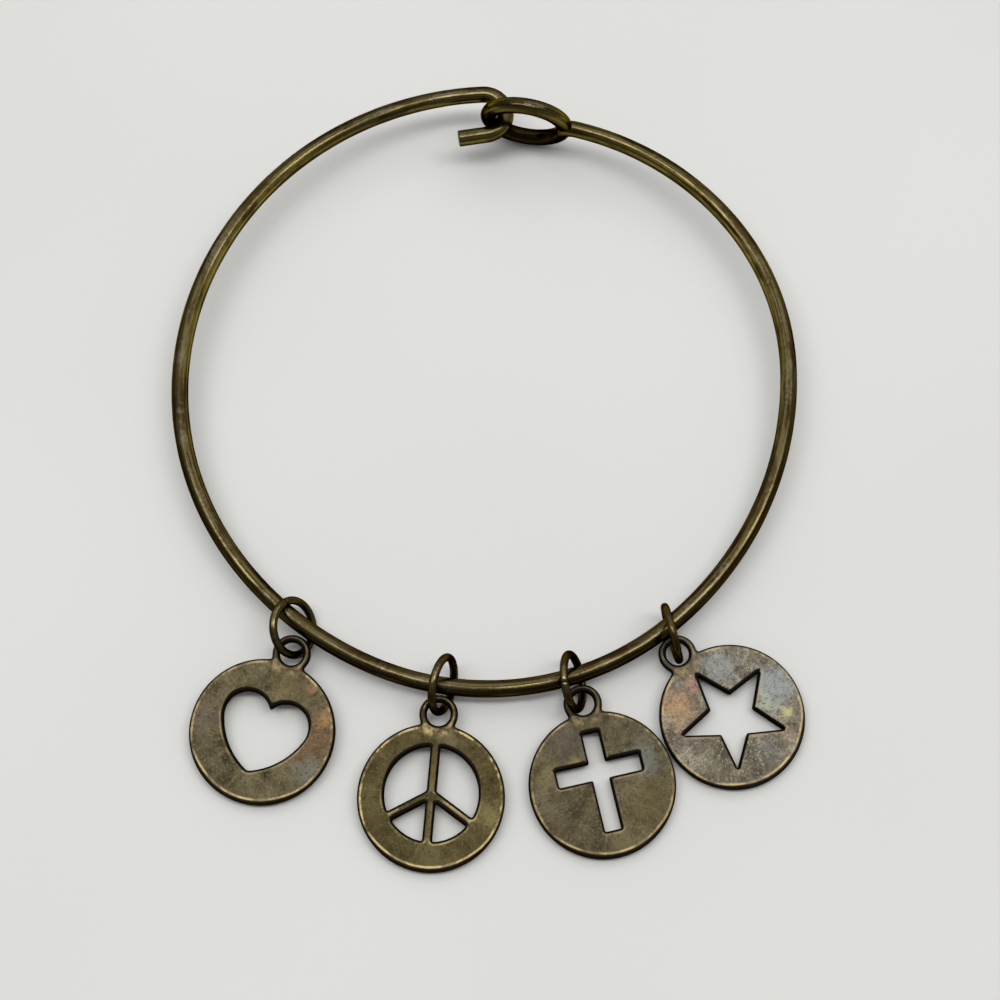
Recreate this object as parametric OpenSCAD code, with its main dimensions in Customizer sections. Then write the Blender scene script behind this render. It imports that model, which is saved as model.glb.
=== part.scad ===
// Wire bangle with a hook and eye clasp and four pierced disc charms.
// It lies on a table: the eye stands on its rim, the jump rings prop the wire
// at the charms, and each charm leans on its far rim. Millimetres, +Z up,
// the origin on the table below the middle of the wrist opening, the clasp
// towards +Y and the charms towards -Y.

/* [Bangle] */
// Diameter of the bangle wire
wire_d = 1.8; // [1.4:0.1:2.2]
// Width inside the bangle
inner_w = 63.6; // [57:0.2:70]
// Length inside the bangle, from the charms to the clasp
inner_l = 66.2; // [59:0.2:73]
// Height of the wire above the table at the charms
wire_lift = 1.3; // [1.2:0.05:1.8]

/* [Clasp] */
// Radius inside the eye
eye_in_r = 3.4; // [2.9:0.1:4]
// Lean of the eye from upright, about the line of the wire
eye_lean = 5; // [0:1:10]
// Turn of the eye from the bangle's width, seen from above
eye_turn = -10; // [-14:1:0]
// Radius inside the bend where the wire turns into the eye
neck_in_r = 0.3; // [0.2:0.05:0.6]
// Radius inside the hook
hook_in_r = 1.6; // [1.4:0.05:2]
// Turn of the hook's bend
hook_bend = 174; // [165:1:180]
// Length of the straight end of the hook
hook_tail = 3.2; // [2:0.1:5]
// Gap between the hook and the eye, and between the eye's end and its neck
clasp_gap = 0.12; // [0.08:0.02:0.25]

/* [Jump rings] */
// Diameter of the jump-ring wire
ring_wire_d = 0.85; // [0.7:0.05:1]
// Diameter inside a jump ring
ring_in_d = 4.8; // [4.6:0.1:5.6]
// Width of the cut where a jump ring's ends meet
ring_cut = 0.1; // [0.05:0.05:0.2]

/* [Charms] */
// Diameter of a charm's disc
disc_d = 15; // [13:0.5:17]
// Thickness of a charm's disc
disc_t = 1.2; // [1:0.1:1.5]
// Rounding of a charm's rims
rim_round = 0.22; // [0.1:0.02:0.35]
// Distance from the middle of the disc to the middle of its loop
loop_reach = 8.5; // [8.3:0.1:9.5]
// Diameter of the hole in a charm's loop
loop_in_d = 2.4; // [2.3:0.1:2.8]
// Width of the band round that hole
loop_band = 0.8; // [0.6:0.05:1]
// Thickness of the loop
loop_t = 1; // [0.8:0.05:1.1]

/* [Cut-outs] */
// Width of the heart
heart_w = 9; // [6:0.1:10]
// Height of the heart, from its tip to the top of its lobes
heart_h = 7.8; // [6:0.1:9.5]
// Radius of the heart's lobes
lobe_r = 2.4; // [2.2:0.05:2.9]
// Radius of the heart's curved sides
heart_side_r = 7.6; // [7:0.1:14]
// Height of the heart's middle above the middle of the disc
heart_rise = -0.35; // [-0.6:0.05:0.4]
// Diameter of the round opening behind the peace sign
peace_d = 9.6; // [8:0.2:11]
// Width of the peace sign's bars
peace_bar = 1; // [0.7:0.05:1.4]
// Angle between the upright bar's foot and each slanting bar
peace_angle = 58; // [40:1:60]
// Height of the peace sign's middle above the middle of the disc
peace_rise = 0.35; // [-0.4:0.05:0.6]
// Height of the cross
cross_h = 10.1; // [8:0.1:11]
// Span of the cross's arms
cross_span = 8.7; // [6:0.1:10]
// Width of the cross's bars
cross_bar = 1.7; // [1:0.05:2]
// Height of the cross's arms above its middle
arms_rise = 1.1; // [0:0.05:2]
// Height of the cross's middle above the middle of the disc
cross_rise = 0.3; // [-0.4:0.05:0.6]
// Radius to the star's points
star_r = 5.35; // [4.5:0.05:6]
// Radius to the corners between the star's points
star_in_r = 2.27; // [1.8:0.05:2.6]

/* [Hidden] */
$fn = 64;
bronze = [0.42, 0.36, 0.22];
worn_bronze = [0.55, 0.47, 0.30];

wire_r = wire_d / 2;
half_w = (inner_w + wire_d) / 2;
half_l = (inner_l + wire_d) / 2;
ring_wire_r = ring_wire_d / 2;
ring_r = ring_in_d / 2 + ring_wire_r;
disc_r = disc_d / 2;
loop_in_r = loop_in_d / 2;
loop_r = loop_in_r + loop_band / 2;

// Where each charm hangs, a row for each and a named column for each value.
RUN = 0;        // way along the wire from its lowest station, share of inner_w
SLIP = 1;       // ring's middle outwards from the wire, share of ring_in_d
RING_TURN = 2;  // direction from the ring's near end to its far end
RING_RISE = 3;  // rise of the ring from its near end to its far end
THREAD = 4;     // ring's near end from the middle of the charm's loop, shares of loop_in_d
PROP = 5;       // height of the loop's middle above its lowest seat, share of ring_wire_d
CHARM_TURN = 6; // direction from the disc to its loop
CUT_TURN = 7;   // place of the ring's cut, round the ring from its far end
HEART = [-0.1622, 0.16, 98.3, 19, [0.21, 0.011, -0.142], 0.66, 70.6, 15];
PEACE = [0.1002, 0.026, 87.1, 35.3, [0.135, 0.215, -0.15], 0.46, 85.2, -60];
CROSS = [0.3081, 0.152, 106.1, 29, [-0.135, -0.184, 0.108], -0.05, 102.9, 70];
STAR = [0.4837, 0.192, 108.7, 40.5, [0.003, -0.122, -0.004], -0.07, 130, -30];

// The hoop's wire, in the plane of the hoop, runs through four stations, at shares
// of the hoop's half width and half length.
base_point = [-0.315 * half_w, -0.932 * half_l];
base_heading = -21;
right_point = [half_w, 0.04 * half_l];
left_point = [-half_w, 0];
hook_point = [-0.01 * half_w, half_l];
hook_heading = 3;
neck_heading = 166;

// Every second arc of the hoop, counted along the wire, is thinner by join_step and
// reaches join_reach into its neighbours, so that the arcs join without a seam.
second_arcs = [1, 3, 4, 6];
join_step = 0.005;
join_reach = 0.05;
// Least straight part that the rounding leaves on the edge of a plate
edge_flat = 0.02;

// The hook's bend, then the eye that it holds
hook_r = hook_in_r + wire_r;
hook_middle = hook_point - hook_r * left_of(hook_heading);
eye_r = eye_in_r + wire_r;
eye_middle = hook_middle + (hook_r - wire_d - clasp_gap + eye_r) * ahead(eye_turn);
neck_r = neck_in_r + wire_r;
neck_reach = sqrt(pow(neck_r + eye_r, 2) - pow(neck_r, 2));
neck_point = eye_middle + neck_reach * ahead(eye_turn);
neck_bend = acos(neck_r / (neck_r + eye_r));
// The eye's end stops a gap short of the outside of the neck's bend.
eye_end = acos((pow(neck_r + eye_r, 2) + pow(eye_r + wire_r, 2) - pow(neck_r + wire_r + clasp_gap, 2))
               / (2 * (neck_r + eye_r) * (eye_r + wire_r)));
eye_turns = 360 - eye_end;

// The hoop's plane rises from the charms to the eye that stands on the table.
eye_height = eye_r * cos(eye_lean) + wire_r;
low_height = wire_lift + wire_r;
hoop_tilt = asin((eye_height - low_height) / (eye_middle[1] + half_l));
hoop_height = low_height + half_l * sin(hoop_tilt);

function ahead(a) = [cos(a), sin(a)];
function left_of(a) = [-sin(a), cos(a)];
function wrapped(a) = a - 360 * round(a / 360);

// An arc is [start point, start heading, radius, turn], both positive to the left.
function arc_to(p, a, q) =
    let (c = q - p)
    [p, a, c * c / (2 * (c * left_of(a))), 2 * wrapped(atan2(c[1], c[0]) - a)];
function arc_middle(arc) = arc[0] + arc[2] * left_of(arc[1]);
function arc_point(arc, turn) = arc_middle(arc) - arc[2] * left_of(arc[1] + turn);
function arc_length(arc) = arc[2] * arc[3] * PI / 180;

// Two tangent arcs from point p at heading a to point q at heading b
function two_arcs(p, a, q, b) =
    let (v = q - p,
         t = ahead(a) + ahead(b),
         k = 2 * (1 - ahead(a) * ahead(b)),
         d = (sqrt(pow(v * t, 2) + k * (v * v)) - v * t) / k,
         m = (p + q + d * (ahead(a) - ahead(b))) / 2,
         first = arc_to(p, a, m))
    [first, arc_to(m, a + first[3], q)];

charm_side = two_arcs(base_point, base_heading, right_point, 90);
hoop_arcs = concat(
    charm_side,
    two_arcs(right_point, 90, neck_point, neck_heading),
    two_arcs(base_point, base_heading + 180, left_point, 90),
    two_arcs(left_point, 90, hook_point, hook_heading));

// Point of the wire at a distance along it from the base, to the left if negative
function wire_point(run) =
    let (arc = run < 0 ? hoop_arcs[4] : run < arc_length(charm_side[0]) ? charm_side[0] : charm_side[1],
         rest = run < 0 ? -run : run < arc_length(charm_side[0]) ? run : run - arc_length(charm_side[0]),
         turn = rest / arc[2] * 180 / PI)
    arc_point(arc, turn);
function wire_heading(run) =
    let (first = arc_length(charm_side[0]))
    run < 0 ? hoop_arcs[4][1] - run / hoop_arcs[4][2] * 180 / PI - 180
    : run < first ? base_heading + run / charm_side[0][2] * 180 / PI
    : charm_side[1][1] + (run - first) / charm_side[1][2] * 180 / PI;

// Places of the ring and the charm of one row of the table
function seat_height(hang) = ring_wire_d * (1 + hang[PROP]) + clasp_gap + loop_t / 2;
function near_height(hang) = seat_height(hang) + hang[THREAD][2] * loop_in_d;
function ring_place(hang) =
    let (run = hang[RUN] * inner_w,
         p = wire_point(run) - hang[SLIP] * ring_in_d * left_of(wire_heading(run)))
    [p[0], p[1] * cos(hoop_tilt), near_height(hang) + ring_r * sin(hang[RING_RISE])];
// A ring rolls over sideways until its rim meets the table.
function ring_roll(hang) =
    let (a = (near_height(hang) - ring_wire_r) / ring_r)
    asin(min(1, sqrt(a * a + 2 * a * sin(hang[RING_RISE])) / cos(hang[RING_RISE])));
function loop_place(hang) =
    let (level = cos(hang[RING_RISE]) * ahead(hang[RING_TURN]),
         near = ring_place(hang) - ring_r * [level[0], level[1], sin(hang[RING_RISE])])
    near - loop_in_d * hang[THREAD];
function charm_tilt(hang) = asin((seat_height(hang) - disc_t / 2) / (loop_reach + disc_r));

module in_hoop_plane() {
    translate([0, 0, hoop_height]) rotate([hoop_tilt, 0, 0]) children();
}

// A stretch of wire along an arc
module wire_arc(arc, second = false) {
    r = abs(arc[2]);
    reach = second ? join_reach / r * 180 / PI : 0;
    start = arc[2] > 0 ? arc[1] - 90 : arc[1] + 90 + arc[3];
    translate(arc_middle(arc))
        rotate_extrude(angle = abs(arc[3]) + 2 * reach, start = start - reach)
        translate([r, 0]) circle(second ? wire_r - join_step : wire_r);
}

module hook() {
    bend = [hook_point, hook_heading, -hook_r, -hook_bend];
    wire_arc(bend, true);
    translate(arc_point(bend, -hook_bend)) rotate([0, 0, hook_heading - hook_bend])
        rotate([0, 90, 0]) cylinder(h = hook_tail, r = wire_r);
}

module eye() {
    neck = [[neck_reach, 0], 180, neck_r, neck_bend];
    round = [arc_point(neck, neck_bend), 180 + neck_bend, -eye_r, -eye_turns];
    translate(eye_middle) rotate([0, 0, eye_turn]) rotate([90 + eye_lean, 0, 0]) {
        wire_arc(neck);
        wire_arc(round, true);
    }
}

module bangle() {
    color(bronze) in_hoop_plane() {
        for (i = [0:len(hoop_arcs) - 1]) wire_arc(hoop_arcs[i], len(search(i, second_arcs)) > 0);
        hook();
        eye();
    }
}

module jump_ring(hang) {
    cut = ring_cut / ring_r * 180 / PI;
    color(worn_bronze)
        translate(ring_place(hang)) rotate([0, 0, hang[RING_TURN]]) rotate([0, -hang[RING_RISE], 0])
        rotate([ring_roll(hang), 0, 0])
        rotate_extrude(angle = 360 - cut, start = hang[CUT_TURN] + cut / 2)
        translate([ring_r, 0]) circle(ring_wire_r);
}

// Half of the section of a round plate with rounded rims, from one radius to another
module plate_section(inside, outside, thick) {
    round = min(rim_round, (thick - edge_flat) / 2);
    inner_round = inside > 0 ? round : 0;
    translate([inside + inner_round, -thick / 2]) square([outside - inside - round - inner_round, thick]);
    translate([inside, round - thick / 2]) square([outside - inside, thick - 2 * round]);
    for (side = [-1, 1]) {
        translate([outside - round, side * (thick / 2 - round)]) circle(round);
        if (inside > 0) translate([inside + round, side * (thick / 2 - round)]) circle(round);
    }
}

// A charm's blank, its loop's middle at the origin and its disc towards -Y
module blank() {
    difference() {
        translate([0, -loop_reach, 0]) rotate_extrude() intersection() {
            plate_section(0, disc_r, disc_t);
            translate([0, -disc_t]) square([disc_r, 2 * disc_t]);
        }
        cylinder(h = 2 * disc_t, r = loop_in_r + rim_round, center = true);
    }
    rotate_extrude() plate_section(loop_in_r, loop_in_r + loop_band, loop_t);
}

module charm(hang) {
    color(worn_bronze)
        translate(loop_place(hang)) rotate([0, 0, hang[CHARM_TURN] - 90]) rotate([charm_tilt(hang), 0, 0])
        difference() {
            blank();
            translate([0, -loop_reach, -disc_t]) linear_extrude(2 * disc_t) children();
        }
}

module heart_outline() {
    lobe = [heart_w / 2 - lobe_r, heart_h / 2 - lobe_r];
    tip = [0, -heart_h / 2];
    d = norm(lobe - tip);
    along = (lobe - tip) / d;
    a = (pow(heart_side_r, 2) - pow(heart_side_r - lobe_r, 2) + d * d) / (2 * d);
    h = sqrt(pow(heart_side_r, 2) - a * a);
    middle = tip + a * along + h * [-along[1], along[0]];
    touch = middle + heart_side_r * (lobe - middle) / norm(lobe - middle);
    beyond = heart_side_r * (touch - tip) / norm(touch - tip);
    outward = [beyond[1], -beyond[0]];
    for (side = [0, 1]) mirror([side, 0]) {
        translate(lobe) circle(lobe_r);
        polygon([tip, touch, lobe, [0, lobe[1]]]);
        intersection() {
            translate(middle) circle(heart_side_r);
            polygon([tip, touch, touch + outward, tip + outward]);
        }
    }
}

module peace_outline() {
    difference() {
        circle(d = peace_d);
        translate([-peace_bar / 2, -peace_d]) square([peace_bar, 2 * peace_d]);
        for (side = [-1, 1]) rotate(side * peace_angle)
            translate([-peace_bar / 2, -peace_d]) square([peace_bar, peace_d]);
    }
}

module cross_outline() {
    translate([-cross_bar / 2, -cross_h / 2]) square([cross_bar, cross_h]);
    translate([-cross_span / 2, arms_rise - cross_bar / 2]) square([cross_span, cross_bar]);
}

module star_outline() {
    polygon([for (i = [0:9]) (i % 2 == 0 ? star_r : star_in_r) * ahead(90 + 36 * i)]);
}

module jump_ring_heart() { jump_ring(HEART); }
module jump_ring_peace() { jump_ring(PEACE); }
module jump_ring_cross() { jump_ring(CROSS); }
module jump_ring_star() { jump_ring(STAR); }
module charm_heart() { charm(HEART) translate([0, heart_rise]) heart_outline(); }
module charm_peace() { charm(PEACE) translate([0, peace_rise]) peace_outline(); }
module charm_cross() { charm(CROSS) translate([0, cross_rise]) cross_outline(); }
module charm_star() { charm(STAR) star_outline(); }

bangle();
jump_ring_heart();
jump_ring_peace();
jump_ring_cross();
jump_ring_star();
charm_heart();
charm_peace();
charm_cross();
charm_star();
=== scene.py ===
"""Looks of a wire bangle with a hook and eye clasp and four pierced disc charms.

The wire, the jump rings and the charms are modelled from their real sizes, in millimetres, in
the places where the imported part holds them. Each one takes the place of its plain solid.
"""

import logging
import math
from dataclasses import dataclass, field
from enum import Enum

import bmesh
import bpy
import numpy as np
from mathutils import Matrix, Vector, kdtree, noise
from mathutils.geometry import delaunay_2d_cdt


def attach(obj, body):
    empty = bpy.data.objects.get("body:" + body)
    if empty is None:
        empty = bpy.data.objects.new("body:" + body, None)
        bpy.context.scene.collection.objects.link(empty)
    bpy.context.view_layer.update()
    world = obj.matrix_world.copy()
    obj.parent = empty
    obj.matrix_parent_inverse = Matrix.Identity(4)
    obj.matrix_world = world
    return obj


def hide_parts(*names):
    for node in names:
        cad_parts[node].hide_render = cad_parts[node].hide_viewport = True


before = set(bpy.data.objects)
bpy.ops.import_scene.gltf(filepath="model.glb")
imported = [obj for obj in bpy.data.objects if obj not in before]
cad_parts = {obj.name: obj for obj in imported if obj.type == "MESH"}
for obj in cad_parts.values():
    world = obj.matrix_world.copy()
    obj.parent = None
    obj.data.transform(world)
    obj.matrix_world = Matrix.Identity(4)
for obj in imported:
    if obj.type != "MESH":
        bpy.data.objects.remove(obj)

LOG = logging.getLogger("bangle")
MM = 0.001
Colour = tuple[float, float, float]
Point = tuple[float, float]
Place = tuple[float, float, float]
Span = tuple[float, float, float, float]
Cloud = tuple[float, float, float]


def heading(angle: float) -> np.ndarray:
    """Returns the unit vector at an angle in degrees from +X."""
    return np.array([math.cos(math.radians(angle)), math.sin(math.radians(angle))])


def turned(angle: float, axis: str) -> Matrix:
    """Returns the 4x4 rotation by an angle in degrees about the axis X, Y or Z."""
    return Matrix.Rotation(math.radians(angle), 4, axis)


def moved(x: float, y: float, z: float) -> Matrix:
    """Returns the 4x4 matrix that moves by a distance in millimetres."""
    return Matrix.Translation((x, y, z))


# Shader and geometry trees


class Term:
    """A number socket of a node tree that takes part in arithmetic."""

    def __init__(self, tree: "NodeSheet", socket: bpy.types.NodeSocket) -> None:
        """Keeps the tree and the output socket that carries the number."""
        self.tree = tree
        self.socket = socket

    def math(self, operation: str, *others: "Term | float", swap: bool = False) -> "Term":
        """Adds one Math node.

        Args:
            operation: The node's operation.
            others: The values or terms of its other sockets.
            swap: Whether this term is the second value and not the first.

        Returns:
            The node's result.
        """
        values = [self, *others]
        if swap:
            values = values[::-1]
        return self.tree.node(
            "ShaderNodeMath", {"operation": operation}, dict(enumerate(values))
        )

    def __add__(self, other: "Term | float") -> "Term":
        """Returns the sum."""
        return self.math("ADD", other)

    __radd__ = __add__

    def __sub__(self, other: "Term | float") -> "Term":
        """Returns the difference."""
        return self.math("SUBTRACT", other)

    def __rsub__(self, other: "Term | float") -> "Term":
        """Returns the difference the other way round."""
        return self.math("SUBTRACT", other, swap=True)

    def __mul__(self, other: "Term | float") -> "Term":
        """Returns the product."""
        return self.math("MULTIPLY", other)

    __rmul__ = __mul__

    def __truediv__(self, other: "Term | float") -> "Term":
        """Returns the quotient."""
        return self.math("DIVIDE", other)

    def __rtruediv__(self, other: "Term | float") -> "Term":
        """Returns the quotient the other way round."""
        return self.math("DIVIDE", other, swap=True)

    def step(self, low: float, high: float) -> "Term":
        """Returns 0 below low and 1 above high with a smooth rise between, or a fall if low is higher."""
        return self.tree.node(
            "ShaderNodeMapRange",
            {"interpolation_type": "SMOOTHSTEP", "clamp": True},
            {"Value": self, "From Min": low, "From Max": high},
        )

    def between(self, low: float, full: float, fade: float, high: float) -> "Term":
        """Returns 1 from full to fade and 0 below low and above high, with smooth sides."""
        return self.step(low, full) * self.step(high, fade)

    def most(self, other: "Term | float") -> "Term":
        """Returns the larger of the two."""
        return self.math("MAXIMUM", other)

    def least(self, other: "Term | float") -> "Term":
        """Returns the smaller of the two."""
        return self.math("MINIMUM", other)


class NodeSheet:
    """A node tree with one way of adding every node to it."""

    def __init__(self, tree: bpy.types.NodeTree) -> None:
        """Keeps the tree."""
        self.tree = tree

    def place(self, kind: str, settings: dict | None = None, sockets: dict | None = None) -> bpy.types.Node:
        """Adds a node.

        Args:
            kind: The node's type.
            settings: Its properties, set before its sockets.
            sockets: Values, terms or sockets by the name or number of its inputs.

        Returns:
            The node.
        """
        made = self.tree.nodes.new(kind)
        for name, value in (settings or {}).items():
            setattr(made, name, value)
        for name, value in (sockets or {}).items():
            if isinstance(name, int):
                target = made.inputs[name]
            else:
                target = next(s for s in made.inputs if s.name == name and s.enabled)
            if isinstance(value, Term):
                value = value.socket
            if isinstance(value, bpy.types.NodeSocket):
                self.tree.links.new(value, target)
            else:
                target.default_value = value
        return made

    def node(self, kind: str, settings: dict | None = None, sockets: dict | None = None) -> Term:
        """Adds a node as place does and returns its first enabled output as a term."""
        made = self.place(kind, settings, sockets)
        return Term(self, next(s for s in made.outputs if s.enabled))

    def noise(
        self, where: Term, scale: Term | float, detail: float = 2.0, roughness: float = 0.5,
        seed: Term | None = None,
    ) -> Term:
        """Returns cloudy noise.

        Args:
            where: The place.
            scale: Lumps for each unit of the place.
            detail: How many finer layers it has.
            roughness: How strong these are.
            seed: Picks another pattern.

        Returns:
            The noise, from about 0 to 1.
        """
        sockets = {"Vector": where, "Scale": scale, "Detail": detail, "Roughness": roughness}
        if seed is None:
            return self.node("ShaderNodeTexNoise", {"noise_dimensions": "3D"}, sockets)
        return self.node("ShaderNodeTexNoise", {"noise_dimensions": "4D"}, {**sockets, "W": seed})

    def blend(self, share: Term | float, first: "Term | Colour", second: "Term | Colour") -> Term:
        """Mixes two colours.

        Args:
            share: How much of the second shows, from 0 to 1.
            first: The first colour.
            second: The second colour.

        Returns:
            The mixed colour.
        """
        sockets = {"Factor": share}
        for name, value in (("A", first), ("B", second)):
            sockets[name] = value if isinstance(value, Term) else (*value, 1.0)
        return self.node("ShaderNodeMix", {"data_type": "RGBA", "clamp_factor": True}, sockets)

    def layered(self, colour: "Term | Colour", coats: "list[tuple[Term, Term | Colour]]") -> Term:
        """Lays coats over a colour.

        Args:
            colour: The colour below.
            coats: How much of each coat shows and its colour, the lowest first.

        Returns:
            The colour on top.
        """
        for share, coat in coats:
            colour = self.blend(share, colour, coat)
        return colour

    def part(self, vector: Term, axis: str) -> Term:
        """Returns the X, Y or Z of a vector."""
        made = self.place("ShaderNodeSeparateXYZ", None, {0: vector})
        return Term(self, made.outputs[axis])

    def vector(self, operation: str, *values: "Term | tuple") -> Term:
        """Returns the result of a Vector Math node, a number for a length or a dot product."""
        made = self.place("ShaderNodeVectorMath", {"operation": operation}, dict(enumerate(values)))
        return Term(self, made.outputs["Value" if operation in ("LENGTH", "DOT_PRODUCT") else "Vector"])

    def attribute(self, name: str, vector: bool = False) -> Term:
        """Returns a number or a vector that the mesh stores at its points."""
        made = self.place("ShaderNodeAttribute", {"attribute_name": name})
        return Term(self, made.outputs["Vector" if vector else "Fac"])


class Groove(Enum):
    """Names of the attributes that the meshes carry for their finishes."""

    PLATE = "plate_place"
    RIM = "rim_distance"
    CUT = "cut_distance"
    FACING = "cut_facing"
    WALL = "wall_share"
    LOOP = "loop_share"
    ALONG = "along_wire"
    AROUND = "around_wire"


def emptied(owner: bpy.types.Material | bpy.types.World) -> NodeSheet:
    """Returns the sheet of a material or a world, with no nodes in it."""
    owner.use_nodes = True
    owner.node_tree.nodes.clear()
    return NodeSheet(owner.node_tree)


def end_finish(sheet: NodeSheet, height: Term, relief: float, sockets: dict, fixed: dict) -> None:
    """Ends a finish in one metal shader over a bump.

    Args:
        sheet: The material's sheet.
        height: Height of the fine relief, as a share of its depth.
        relief: Depth of the fine relief in metres.
        sockets: What changes over the surface, by socket name.
        fixed: What stays the same all over, by socket name.
    """
    bump = sheet.node("ShaderNodeBump", None, {"Height": height, "Distance": relief, "Strength": 1.0})
    shader = sheet.node("ShaderNodeBsdfPrincipled", None, {**fixed, **sockets, "Normal": bump})
    sheet.place("ShaderNodeOutputMaterial", None, {"Surface": shader})


@dataclass(frozen=True)
class Stain:
    """A patch of another colour on a charm.

    Places and reaches are in millimetres from the middle of the disc, the loop at the top.
    """

    place: Point
    reach: float
    colour: Colour
    strength: float = 0.8
    raggedness: float = 3.6


@dataclass(frozen=True)
class Patina:
    """Cast antique bronze: a mottled, dull face with rubbed rims that also carry painted highlights, dark
    walls and edges that also carry painted shade, and heat stains.

    Each cloud is a noise: its lumps for each millimetre, its detail and its roughness. Distances
    are in millimetres and the relief is in metres.
    """

    name: str
    face: Colour = (0.132, 0.11, 0.06)
    shade: Colour = (0.058, 0.047, 0.027)
    light: Colour = (0.22, 0.187, 0.108)
    wear_and_sheen: Colour = (0.42, 0.32, 0.16)
    dark: Colour = (0.014, 0.011, 0.007)
    edge: Span = (0.45, 0.4, 0.3, 1.0)
    wear: float = 0.75
    stains: tuple[Stain, ...] = ()
    stain_edge: Point = (1.35, 0.15)
    roughness: float = 0.44
    relief: float = 0.00012
    broad: Cloud = (0.4, 3.0, 0.6)
    mottle: Cloud = (1.25, 6.0, 0.72)
    grain: Cloud = (5.5, 4.0, 0.75)
    fleck: Cloud = (2.7, 4.0, 0.7)
    ragged: Cloud = (0.95, 6.0, 0.72)
    rubbed: Cloud = (0.55, 4.0, 0.66)
    scratch: Cloud = (2.2, 2.0, 0.6)
    face_tone: Point = (0.4, 0.52)
    light_tone: Point = (0.51, 0.62)
    dark_flecks: Point = (0.47, 0.39)
    light_flecks: Point = (0.53, 0.61)
    brush_turn: float = 0.6
    brush_stretch: float = 9.0
    low_side: Point = (-3.5, -6.5)
    shadow_reach: float = 0.2
    rim_shadow: Point = (0.24, 0.1)
    cut_shadow: Point = (0.29, 0.16)
    rim_lip: Span = (0.16, 0.28, 0.34, 0.5)
    cut_lip: Span = (0.2, 0.3, 0.36, 0.48)

    def stained(self, sheet: NodeSheet, place: Term, ragged: Term) -> list[tuple[Term, Colour]]:
        """Works out where the stains show.

        Args:
            sheet: The material's sheet.
            place: The place on the plate, in millimetres.
            ragged: Noise that breaks up the edges of the stains.

        Returns:
            How much of each stain shows and its colour.
        """
        coats = []
        for stain in self.stains:
            away = sheet.vector("SUBTRACT", place, (*stain.place, 0.0))
            span = sheet.vector("LENGTH", sheet.vector("MULTIPLY", away, (1, 1, 0))) / stain.reach
            share = (span + (ragged - 0.5) * stain.raggedness).step(*self.stain_edge) * stain.strength
            coats.append((share, stain.colour))
        return coats

    def material(self) -> bpy.types.Material:
        """Builds the finish on the plate's own place, with distances in millimetres.

        Returns:
            The material.
        """
        material = bpy.data.materials.new(self.name)
        sheet = emptied(material)
        place = sheet.attribute(Groove.PLATE.value, vector=True)
        rim, cut, facing, wall, loop = (
            sheet.attribute(groove.value)
            for groove in (Groove.RIM, Groove.CUT, Groove.FACING, Groove.WALL, Groove.LOOP)
        )
        broad, mottle, grain, fleck, ragged, rubbed = (
            sheet.noise(place, *cloud)
            for cloud in (self.broad, self.mottle, self.grain, self.fleck, self.ragged, self.rubbed)
        )
        brushed = sheet.node("ShaderNodeMapping", None, {
            "Vector": place, "Rotation": (0, 0, self.brush_turn), "Scale": (1, self.brush_stretch, 1),
        })
        scratch = sheet.noise(brushed, *self.scratch)
        plate = 1.0 - loop
        low = sheet.part(place, "Y").step(*self.low_side)
        # Dark patina of the walls and edges, with painted shade: the dark bands reach further in on the low
        # side of the rim and above each cut-out.
        edge = rim - low * self.shadow_reach
        brink = cut - facing.step(0.0, 0.7) * self.shadow_reach
        edge_patina_and_shade = brink.step(*self.cut_shadow).most(edge.step(*self.rim_shadow) * 0.95)
        # Rubbed lips with painted highlights run along the rim, below each cut-out and round the loop, more
        # of them on the low side.
        lit_rim = edge.between(*self.rim_lip) * plate
        lit_cut = cut.between(*self.cut_lip) * facing.step(0.2, -0.5) * 0.5 * plate
        ridge = rim.least(cut).step(0.22, 0.4) * loop * 0.7
        patchy = rubbed.step(0.4, 0.6) * 0.95 + low * 0.3 + 0.05
        wear_and_sheen = (lit_rim + lit_cut + ridge) * patchy * (fleck * 0.7 + grain * 0.7) * 1.6 * self.wear
        wear_and_sheen = wear_and_sheen.least(1.0)
        tone = broad * 0.42 + mottle * 0.38 + grain * 0.2
        colour = sheet.layered(self.shade, [
            (tone.step(*self.face_tone), self.face),
            (tone.step(*self.light_tone) * 0.85, self.light),
            *self.stained(sheet, place, ragged),
            ((fleck * 0.6 + grain * 0.4).step(*self.dark_flecks) * 0.75, self.shade),
            ((fleck * 0.5 + grain * 0.5).step(*self.light_flecks) * 0.7, self.light),
            (loop * 0.8, self.shade),
            # rubbed wear with painted highlights
            (wear_and_sheen, self.wear_and_sheen),
            # painted shade over the dark patina of the walls and edges
            (edge_patina_and_shade.most(wall.step(0.0, 0.3)), self.dark),
        ])
        rough = self.roughness + mottle * 0.16 + grain * 0.1 - wear_and_sheen * 0.16 + wall.step(0.0, 0.4) * 0.1
        end_finish(
            sheet, mottle * 0.35 + fleck * 0.3 + grain * 0.2 + scratch * 0.15, self.relief,
            {"Base Color": colour, "Roughness": rough}, {"Metallic": 1.0, "Specular Tint": self.edge},
        )
        return material


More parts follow.
